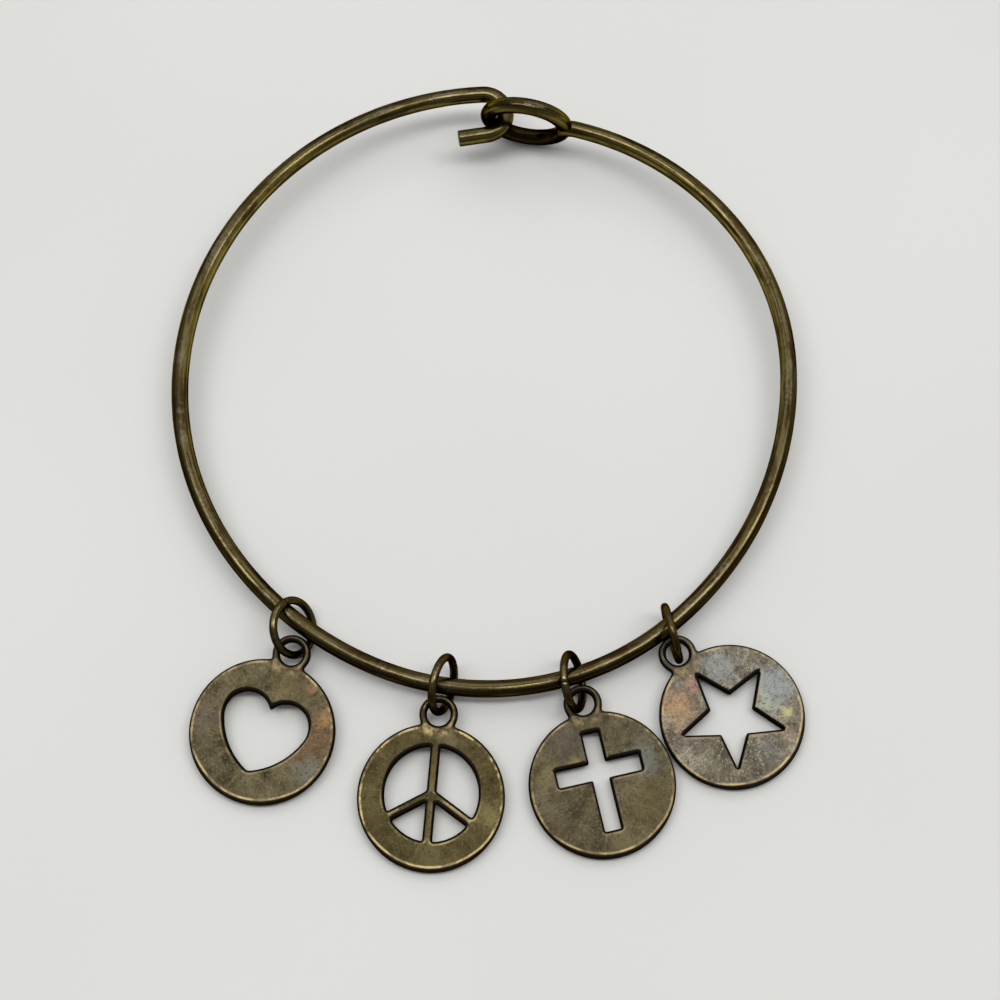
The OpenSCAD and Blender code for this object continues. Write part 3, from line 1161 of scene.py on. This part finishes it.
@dataclass
class Charm:
    """A cast disc with a loop and a cut-out, on its jump ring."""

    ring: JumpRing
    finish: Patina
    dents: tuple[Dent, ...] = ()
    disc_d: float = 15.0
    disc_t: float = 1.2
    rim_round: float = 0.32
    loop_reach: float = 8.5
    loop_in_d: float = 2.4
    loop_band: float = 0.8
    loop_t: float = 1.0
    loop_round: float = 0.39
    heart_w: float = 9.0
    heart_h: float = 7.8
    lobe_r: float = 2.4
    heart_side_r: float = 7.6
    heart_rise: float = -0.35
    peace_d: float = 9.6
    peace_bar: float = 1.0
    peace_angle: float = 58.0
    peace_rise: float = 0.35
    cross_h: float = 10.1
    cross_span: float = 8.7
    cross_bar: float = 1.7
    arms_rise: float = 1.1
    cross_rise: float = 0.3
    star_r: float = 5.45
    star_in_r: float = 2.27
    pitch: float = 0.13
    mesh_pitch: float = 0.2
    fillet: float = 0.3
    softness: dict = field(default_factory=lambda: {
        Motif.HEART: 0.16, Motif.PEACE: 0.14, Motif.CROSS: 0.1, Motif.STAR: 0.1,
    })
    cast_depth: float = 0.035
    cast_sink: float = 0.9
    cast_edge: float = 0.4
    cast_lumps: Point = (2.1, 0.7)
    cast_shares: Point = (1.0, 0.4)
    cast_seed: float = 7.3
    dent_slope: float = 1.6
    loop_blend: float = 0.75
    wall_levels: tuple[float, ...] = (0.25, 0.5, 0.75)
    row_gap: float = 0.94
    grid_gap: float = 1.5
    rows: tuple[float, ...] = (0.05, 0.15, 0.3, 0.5, 0.75, 1.1)

    @property
    def motif(self) -> Motif:
        """Returns the charm's motif."""
        return self.ring.motif

    def outer(self) -> np.ndarray:
        """Joins the disc to its loop, with fillets.

        Returns:
            The outline.
        """
        disc_r = self.disc_d / 2
        loop_r = self.loop_in_d / 2 + self.loop_band
        rise = (self.loop_reach ** 2 + disc_r ** 2 - loop_r ** 2) / (2 * self.loop_reach)
        at_disc = math.degrees(math.asin(rise / disc_r))
        at_loop = math.degrees(math.asin((rise - self.loop_reach) / loop_r))
        line = arc_points((0, self.loop_reach), loop_r, at_loop, 180 - at_loop)
        line += arc_points((0, 0), disc_r, 180 - at_disc, 360 + at_disc)
        return softened(line, self.pitch, self.fillet)

    def heart(self) -> list[list]:
        """Draws the heart, each curved side running smoothly into its lobe.

        Returns:
            Its one sharp outline.
        """
        lobe = np.array([self.heart_w / 2 - self.lobe_r, self.heart_h / 2 - self.lobe_r])
        tip = np.array([0.0, -self.heart_h / 2])
        away = float(np.linalg.norm(lobe - tip))
        along = (lobe - tip) / away
        run = (self.heart_side_r ** 2 - (self.heart_side_r - self.lobe_r) ** 2 + away ** 2) / (2 * away)
        reach = math.sqrt(self.heart_side_r ** 2 - run ** 2)
        middle = tip + run * along + reach * np.array([-along[1], along[0]])
        first, last = (math.degrees(math.atan2(*(p - middle)[::-1])) for p in (tip, lobe))
        right = arc_points(middle, self.heart_side_r, first, last)
        right += arc_points(lobe, self.lobe_r, last, math.degrees(math.acos(-lobe[0] / self.lobe_r)))
        return [right + [np.array([-x, y]) for x, y in reversed(right)]]

    def peace(self) -> list[list]:
        """Draws the peace sign.

        Returns:
            The sharp outlines of the four openings between its bars.
        """
        rim = self.peace_d / 2
        bars = (90, 270 - self.peace_angle, 270, 270 + self.peace_angle, 450)
        step = math.degrees(math.asin(self.peace_bar / 2 / rim))
        openings = []
        for first, last in zip(bars, bars[1:]):
            half = (last - first) / 2
            corner = self.peace_bar / 2 / math.sin(math.radians(half)) * heading((first + last) / 2)
            openings.append([corner, *arc_points((0, 0), rim, first + step, last - step)])
        return openings

    def cross(self) -> list[list]:
        """Draws the cross.

        Returns:
            Its one sharp outline.
        """
        bar, top, arm = self.cross_bar / 2, self.cross_h / 2, self.cross_span / 2
        low, high = self.arms_rise - bar, self.arms_rise + bar
        right = [(bar, -top), (bar, low), (arm, low), (arm, high), (bar, high), (bar, top)]
        return [right + [(-x, y) for x, y in reversed(right)]]

    def star(self) -> list[list]:
        """Returns the star's sharp outline."""
        radii = (self.star_r, self.star_in_r)
        return [[radii[i % 2] * heading(90 + 36 * i) for i in range(10)]]

    def holes(self) -> list[np.ndarray]:
        """Draws what is open in the plate.

        Returns:
            The outlines of the loop's hole and of the motif.
        """
        outline, rise = {
            Motif.HEART: (self.heart, self.heart_rise), Motif.PEACE: (self.peace, self.peace_rise),
            Motif.CROSS: (self.cross, self.cross_rise), Motif.STAR: (self.star, 0.0),
        }[self.motif]
        softness = self.softness[self.motif]
        motif = [softened(line, self.pitch, softness) + np.array([0, rise]) for line in outline()]
        ring = arc_points((0, self.loop_reach), self.loop_in_d / 2, 0, 358)
        return [softened(ring, self.pitch, 0.0), *motif]

    def looped(self, points: np.ndarray) -> np.ndarray:
        """Tells the loop from the disc, with a soft change between.

        Args:
            points: Rows of x and y.

        Returns:
            1 for each point of the loop and 0 for each point of the disc.
        """
        away = np.linalg.norm(points - np.array([0, self.loop_reach]), axis=1)
        limit = self.loop_in_d / 2 + self.loop_band + self.loop_blend
        share = np.clip((limit - away) / self.loop_blend, 0, 1)
        return share * share * (3 - 2 * share)

    def face_points(self, loops: list[np.ndarray]) -> np.ndarray:
        """Spreads points over the face, in rows along its outlines and on a grid between.

        Args:
            loops: The outlines, the outer one first.

        Returns:
            The points inside the plate, without those of the outlines.
        """
        tree = nearby(np.vstack(loops))
        reach = self.disc_d / 2 + self.loop_reach
        across = np.arange(-reach, reach, self.mesh_pitch)
        grid = np.array([
            (x + (row % 2) * self.mesh_pitch / 2, y)
            for row, y in enumerate(across * math.sin(math.radians(60))) for x in across
        ])
        spread = [(grid, self.rim_round * self.rows[-1] * self.grid_gap)]
        for loop in loops:
            along = np.roll(loop, -1, axis=0) - np.roll(loop, 1, axis=0)
            side = np.column_stack([-along[:, 1], along[:, 0]]) / np.linalg.norm(along, axis=1)[:, None]
            for row in self.rows:
                away = self.rim_round * row
                spread += [(loop + sign * away * side, away * self.row_gap) for sign in (1, -1)]
        kept = []
        for points, least in spread:
            within = points[inside(points, loops)]
            kept += [point for point in within if tree.find((*point, 0))[2] > least]
        return np.array(kept)

    def heights(self, points: np.ndarray, edge: np.ndarray, side: int) -> np.ndarray:
        """Works out the heights of one face.

        Args:
            points: The points of the face.
            edge: The distance of each from the nearest outline.
            side: 1 for the upper face and -1 for the lower.

        Returns:
            The height of each point, with the sign of the side.
        """
        loop = self.looped(points)
        half = self.disc_t / 2 + (self.loop_t - self.disc_t) / 2 * loop
        rounding = self.rim_round + (self.loop_round - self.rim_round) * loop
        inward = np.maximum(rounding - edge, 0)
        height = half - rounding + np.sqrt(rounding ** 2 - inward ** 2)
        seed = self.cast_seed * (list(Motif).index(self.motif) + 1) + side
        cast = sum(
            share * np.array([noise.noise((x / lump, y / lump, seed + layer * 3)) for x, y in points])
            for layer, (lump, share) in enumerate(zip(self.cast_lumps, self.cast_shares))
        )
        height += self.cast_depth * (cast - self.cast_sink) * np.clip(edge / self.cast_edge, 0, 1)
        for dent in self.dents if side > 0 else ():
            away = np.linalg.norm(points - np.array(dent.place), axis=1) / dent.reach
            height -= dent.depth * np.exp(-away ** 2 * self.dent_slope)
        return side * height

    @staticmethod
    def triangles(loops: list[np.ndarray], points: np.ndarray, edges: list) -> tuple[np.ndarray, np.ndarray]:
        """Fills the plate with triangles.

        Args:
            loops: The outlines, the outer one first.
            points: All the points of one face, those of the outlines first.
            edges: Pairs of numbers of the points that the outlines join.

        Returns:
            The points and the triangles between them.
        """
        found, _, faces, *_ = delaunay_2d_cdt([Vector(p) for p in points], edges, [], 0, 1e-6, False)
        verts = np.array([tuple(v) for v in found])
        if len(verts) != len(points):
            raise ValueError("points of a charm's face fell together")
        faces = np.array(faces)
        return verts, faces[inside(verts[faces].mean(axis=1), loops)]

    @staticmethod
    def measured(loops: list[np.ndarray], verts: np.ndarray) -> dict[Groove, np.ndarray]:
        """Measures how each point of a face lies to the outlines.

        Args:
            loops: The outlines, the outer one first.
            verts: The points.

        Returns:
            The distances from the rim and from the nearest cut-out, and on which side of that
            cut-out the point lies, from -1 below it to 1 above.
        """
        rim_tree, cut_tree = nearby(loops[0]), nearby(np.vstack(loops[1:]))
        rim = np.array([rim_tree.find((x, y, 0))[2] for x, y in verts])
        nearest = [cut_tree.find((x, y, 0)) for x, y in verts]
        cut = np.array([found[2] for found in nearest])
        facing = (verts[:, 1] - [found[0].y for found in nearest]) / np.maximum(cut, 1e-4)
        return {Groove.RIM: rim, Groove.CUT: cut, Groove.FACING: facing}

    def build(self) -> bpy.types.Object:
        """Makes the plate: two faces over one set of points, and walls along its outlines.

        Returns:
            The closed plate.
        """
        loops = [self.outer(), *self.holes()]
        edge_points = np.vstack(loops)
        starts = np.cumsum([0] + [len(loop) for loop in loops])
        edges = [(s + i, s + (i + 1) % n) for s, n in zip(starts, map(len, loops)) for i in range(n)]
        flat = np.vstack([edge_points, self.face_points(loops)])
        verts, faces = self.triangles(loops, flat, edges)
        face = self.measured(loops, verts)
        edge = np.minimum(face[Groove.RIM], face[Groove.CUT])
        top, bottom = (self.heights(verts, edge, side) for side in (1, -1))
        count, outline = len(verts), len(edge_points)
        depth = (bottom - top)[:outline]
        rows = [np.column_stack([verts, top]), np.column_stack([verts, bottom])]
        rows += [np.column_stack([edge_points, top[:outline] + depth * level]) for level in self.wall_levels]
        points = np.vstack(rows)
        rings = [0, *(2 * count + k * outline for k in range(len(self.wall_levels))), count]
        polygons = [tuple(f) for f in faces] + [tuple(f[::-1] + count) for f in faces]
        for high, low in zip(rings, rings[1:]):
            polygons += [(high + a, low + a, low + b, high + b) for a, b in edges]
        piece = mesh_object(f"charm_{self.motif.value}_plate", points, polygons, self.place())
        self.close(piece)
        self.mark(piece, points, face, outline)
        return piece

    def place(self) -> Matrix:
        """Works out how the charm leans from its ring down to the surface.

        Returns:
            Where the middle of the disc lies.
        """
        hang = self.ring.hang
        rise = self.ring.seat - self.disc_t / 2
        lean = math.degrees(math.asin(rise / (self.loop_reach + self.disc_d / 2)))
        seat = moved(*self.ring.loop_place()) @ turned(hang.charm_turn - 90, "Z") @ turned(lean, "X")
        return seat @ moved(0, -self.loop_reach, 0)

    @staticmethod
    def close(piece: bpy.types.Object) -> None:
        """Turns all the faces of a closed plate outwards.

        Args:
            piece: The plate.
        """
        shell = bmesh.new()
        shell.from_mesh(piece.data)
        bmesh.ops.recalc_face_normals(shell, faces=shell.faces)
        shell.to_mesh(piece.data)
        shell.free()

    def mark(self, piece: bpy.types.Object, local: np.ndarray, face: dict, outline: int) -> None:
        """Stores what the finish reads at each point.

        Args:
            piece: The plate.
            local: Its points in its own frame: the upper face, the lower face and the walls' rows.
            face: Numbers for the points of one face, by attribute.
            outline: How many of them, the first ones, lie on the outlines.
        """
        count = len(face[Groove.RIM])
        rows = (len(local) - 2 * count) // outline
        values = {
            groove: np.concatenate([np.tile(numbers, 2), np.tile(numbers[:outline], rows)])
            for groove, numbers in face.items()
        }
        values[Groove.WALL] = np.concatenate([np.zeros(2 * count), np.ones(outline * rows)])
        values[Groove.LOOP] = self.looped(local[:, :2])
        for groove, numbers in values.items():
            layer = piece.data.attributes.new(groove.value, "FLOAT", "POINT")
            layer.data.foreach_set("value", numbers.astype(np.float32))
        layer = piece.data.attributes.new(Groove.PLATE.value, "FLOAT_VECTOR", "POINT")
        layer.data.foreach_set("vector", local.astype(np.float32).ravel())

    def dress(self) -> None:
        """Builds the charm in the place of its solid."""
        piece = self.build()
        piece.data.materials.append(self.finish.material())
        seated(piece, f"charm_{self.motif.value}")


# The studio


@dataclass(frozen=True)
class Lamp:
    """A rectangular lamp that faces the object, its places and sizes in millimetres."""

    name: str
    place: Place
    size: Point
    power: float
    colour: Colour

    def hang(self) -> None:
        """Makes the lamp."""
        data = bpy.data.lights.new(self.name, "AREA")
        data.shape = "RECTANGLE"
        data.size, data.size_y = (side * MM for side in self.size)
        data.energy = self.power
        data.color = self.colour
        lamp = linked(self.name, data)
        lamp.location = Vector(self.place) * MM
        lamp.rotation_euler = (-lamp.location).to_track_quat("-Z", "Y").to_euler()


@dataclass
class Studio:
    """Floor, soft light and camera."""

    camera_place: Place = (1.659, -80.441, 197.678)
    camera_turn: float = 19.0
    lens: float = 70.2
    floor_r: float = 2000.0
    room: float = 0.3
    room_slope: float = 0.12
    lamps: tuple[Lamp, ...] = (
        Lamp("wide_lamp", (0, 380, 850), (1700, 900), 3.9, (1.0, 0.995, 0.98)),
        Lamp("overhead_lamp", (0, -10, 620), (900, 120), 1.96, (1.0, 0.995, 0.985)),
    )

    def floor(self) -> None:
        """Makes the plain pale floor."""
        points = [(*(self.floor_r * heading(a)), 0.0) for a in range(0, 360, 5)]
        plain = mesh_object("floor", np.array(points), [list(range(len(points)))], Matrix.Identity(4))
        plain.data.materials.append(PaleSheet().material())

    def light(self) -> None:
        """Makes the light: the lamps, and a room that is darker on this side."""
        for lamp in self.lamps:
            lamp.hang()
        world = bpy.data.worlds.new("room")
        sheet = emptied(world)
        away = sheet.part(sheet.place("ShaderNodeTexCoord").outputs["Generated"], "Y")
        room = sheet.node("ShaderNodeBackground", None, {
            "Color": (1.0, 1.0, 1.02, 1.0), "Strength": away * self.room_slope + self.room,
        })
        sheet.place("ShaderNodeOutputWorld", None, {"Surface": room})
        bpy.context.scene.world = world
        bpy.context.scene.view_settings.view_transform = "Standard"

    def camera(self) -> None:
        """Sets the camera at the photograph's angle."""
        data = bpy.data.cameras.new("camera")
        data.lens = self.lens
        data.clip_start = MM
        camera = linked("camera", data)
        camera.location = Vector(self.camera_place) * MM
        camera.rotation_euler = (math.radians(self.camera_turn), 0, 0)
        bpy.context.scene.camera = camera


HANGS = {
    Motif.HEART: Hang(-0.1622, 0.16, 98.3, 19, (0.21, 0.011, -0.142), 0.66, 70.6, 15),
    Motif.PEACE: Hang(0.1002, 0.026, 87.1, 35.3, (0.135, 0.215, -0.15), 0.46, 85.2, -60),
    Motif.CROSS: Hang(0.3081, 0.152, 106.1, 29, (-0.135, -0.184, 0.108), -0.05, 102.9, 70),
    Motif.STAR: Hang(0.4837, 0.192, 108.7, 40.5, (0.003, -0.122, -0.004), -0.07, 130, -30),
}

COPPER = (0.2, 0.105, 0.062)
ORANGE = (0.43, 0.25, 0.105)
AMBER = (0.47, 0.285, 0.15)
UMBER = (0.14, 0.092, 0.055)
PLUM = (0.115, 0.09, 0.088)
PINK = (0.4, 0.24, 0.19)
PEWTER = (0.33, 0.365, 0.37)
SLATE = (0.22, 0.235, 0.22)
INK = (0.09, 0.095, 0.11)
SAGE = (0.36, 0.4, 0.31)
STRAW = (0.3, 0.25, 0.11)
LEMON = (0.55, 0.5, 0.24)
SAND = (0.2, 0.165, 0.1)
HAY = (0.19, 0.16, 0.08)
MOSS = (0.165, 0.135, 0.062)
OLIVE = (0.12, 0.095, 0.038)
PIT = (0.025, 0.02, 0.01)

WIRE_FINISH = WireBronze("wire_bronze")
RING_FINISH = WireBronze(
    "ring_bronze", top=(0.15, 0.12, 0.058), flank=(0.105, 0.078, 0.026), side=(0.03, 0.019, 0.006),
    wear_and_sheen=(0.33, 0.27, 0.15), roughness=0.13,
)
PATINAS = {
    Motif.HEART: Patina("patina_heart", stains=(
        Stain((-6.0, -0.6), 1.8, PLUM, 0.5), Stain((0.8, 4.9), 1.2, STRAW, 0.35),
        Stain((5.6, 1.6), 2.3, COPPER, 0.6), Stain((4.4, -1.0), 1.2, COPPER, 0.45),
        Stain((5.9, 3.2), 0.9, ORANGE, 0.6), Stain((3.4, 5.7), 0.55, ORANGE, 0.6),
        Stain((5.9, -2.4), 1.5, SLATE, 0.5), Stain((-2.56, -3.95), 0.62, PIT, 0.75, 0.9),
        Stain((1.89, -4.1), 0.5, PIT, 0.75, 1.2), Stain((-1.1, 4.3), 0.35, PIT, 0.6, 1.5),
        Stain((2.0, 5.6), 1.6, UMBER, 0.6), Stain((-1.4, -5.6), 0.35, PIT, 0.5, 1.8),
        Stain((-3.6, 5.0), 0.3, PIT, 0.5, 1.8),
    )),
    Motif.PEACE: Patina(
        "patina_peace", face=(0.092, 0.073, 0.031), shade=(0.049, 0.039, 0.017),
        light=(0.16, 0.132, 0.064), wear=1.15, stains=(
            Stain((1.3, 5.9), 1.1, SAND, 0.6), Stain((6.1, -1.6), 1.6, STRAW, 0.5),
            Stain((-6.0, -2.2), 1.3, OLIVE, 0.5), Stain((0.3, -6.1), 2.4, MOSS, 0.55),
            Stain((5.95, 2.2), 0.3, PIT, 0.7, 1.5),
        ),
    ),
    Motif.CROSS: Patina(
        "patina_cross", face=(0.115, 0.096, 0.055), light=(0.195, 0.166, 0.098), wear=0.6, stains=(
            Stain((-2.6, 5.0), 2.3, PLUM, 0.5), Stain((-5.4, 1.8), 1.2, STRAW, 0.3),
            Stain((1.0, -5.9), 2.0, HAY, 0.5), Stain((-2.2, 2.7), 0.8, STRAW, 0.6),
            Stain((4.3, -2.4), 2.3, OLIVE, 0.6), Stain((4.6, 1.6), 1.8, SLATE, 0.5),
        ),
    ),
    Motif.STAR: Patina(
        "patina_star", face=(0.185, 0.163, 0.115), shade=(0.082, 0.071, 0.054),
        light=(0.42, 0.39, 0.31), stains=(
            Stain((2.2, 4.6), 2.0, PEWTER, 0.55), Stain((5.2, -0.6), 2.5, PEWTER, 0.75),
            Stain((-2.6, 6.2), 1.4, PLUM, 0.5), Stain((-5.4, 1.6), 1.5, PLUM, 0.5),
            Stain((-3.9, 4.2), 2.0, AMBER, 0.75), Stain((-1.1, 5.1), 1.1, PINK, 0.7),
            Stain((4.6, -3.3), 0.7, LEMON, 0.85), Stain((3.4, -1.2), 1.0, SAGE, 0.6),
            Stain((0.7, -5.1), 1.5, INK, 0.5), Stain((3.0, -5.2), 0.8, PINK, 0.4),
        ),
    ),
}
DENTS = {
    Motif.HEART: (
        Dent((-2.56, -3.95), 0.6, 0.12), Dent((1.89, -4.1), 0.45, 0.1), Dent((-1.1, 4.3), 0.3, 0.06),
    ),
    Motif.PEACE: (Dent((5.95, 2.4), 0.3, 0.08), Dent((-1.5, -5.7), 0.5, 0.04)),
    Motif.CROSS: (Dent((4.2, -3.6), 0.7, 0.04), Dent((-3.6, -2.4), 0.6, 0.04)),
    Motif.STAR: (Dent((4.6, -3.3), 0.4, 0.06), Dent((0.7, -5.1), 0.7, 0.05)),
}


def main() -> None:
    """Builds the pieces in order round the frame."""
    logging.basicConfig(level=logging.INFO, format="%(name)s: %(message)s")
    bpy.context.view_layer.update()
    studio = Studio()
    studio.floor()
    studio.light()
    studio.camera()
    trees = WireTree()
    bangle = Bangle()
    bangle.dress(trees, WIRE_FINISH)
    for motif in Motif:
        ring = JumpRing(motif, HANGS[motif], bangle)
        ring.dress(trees, RING_FINISH)
        Charm(ring, PATINAS[motif], DENTS[motif]).dress()


if __name__ == "__main__":
    main()
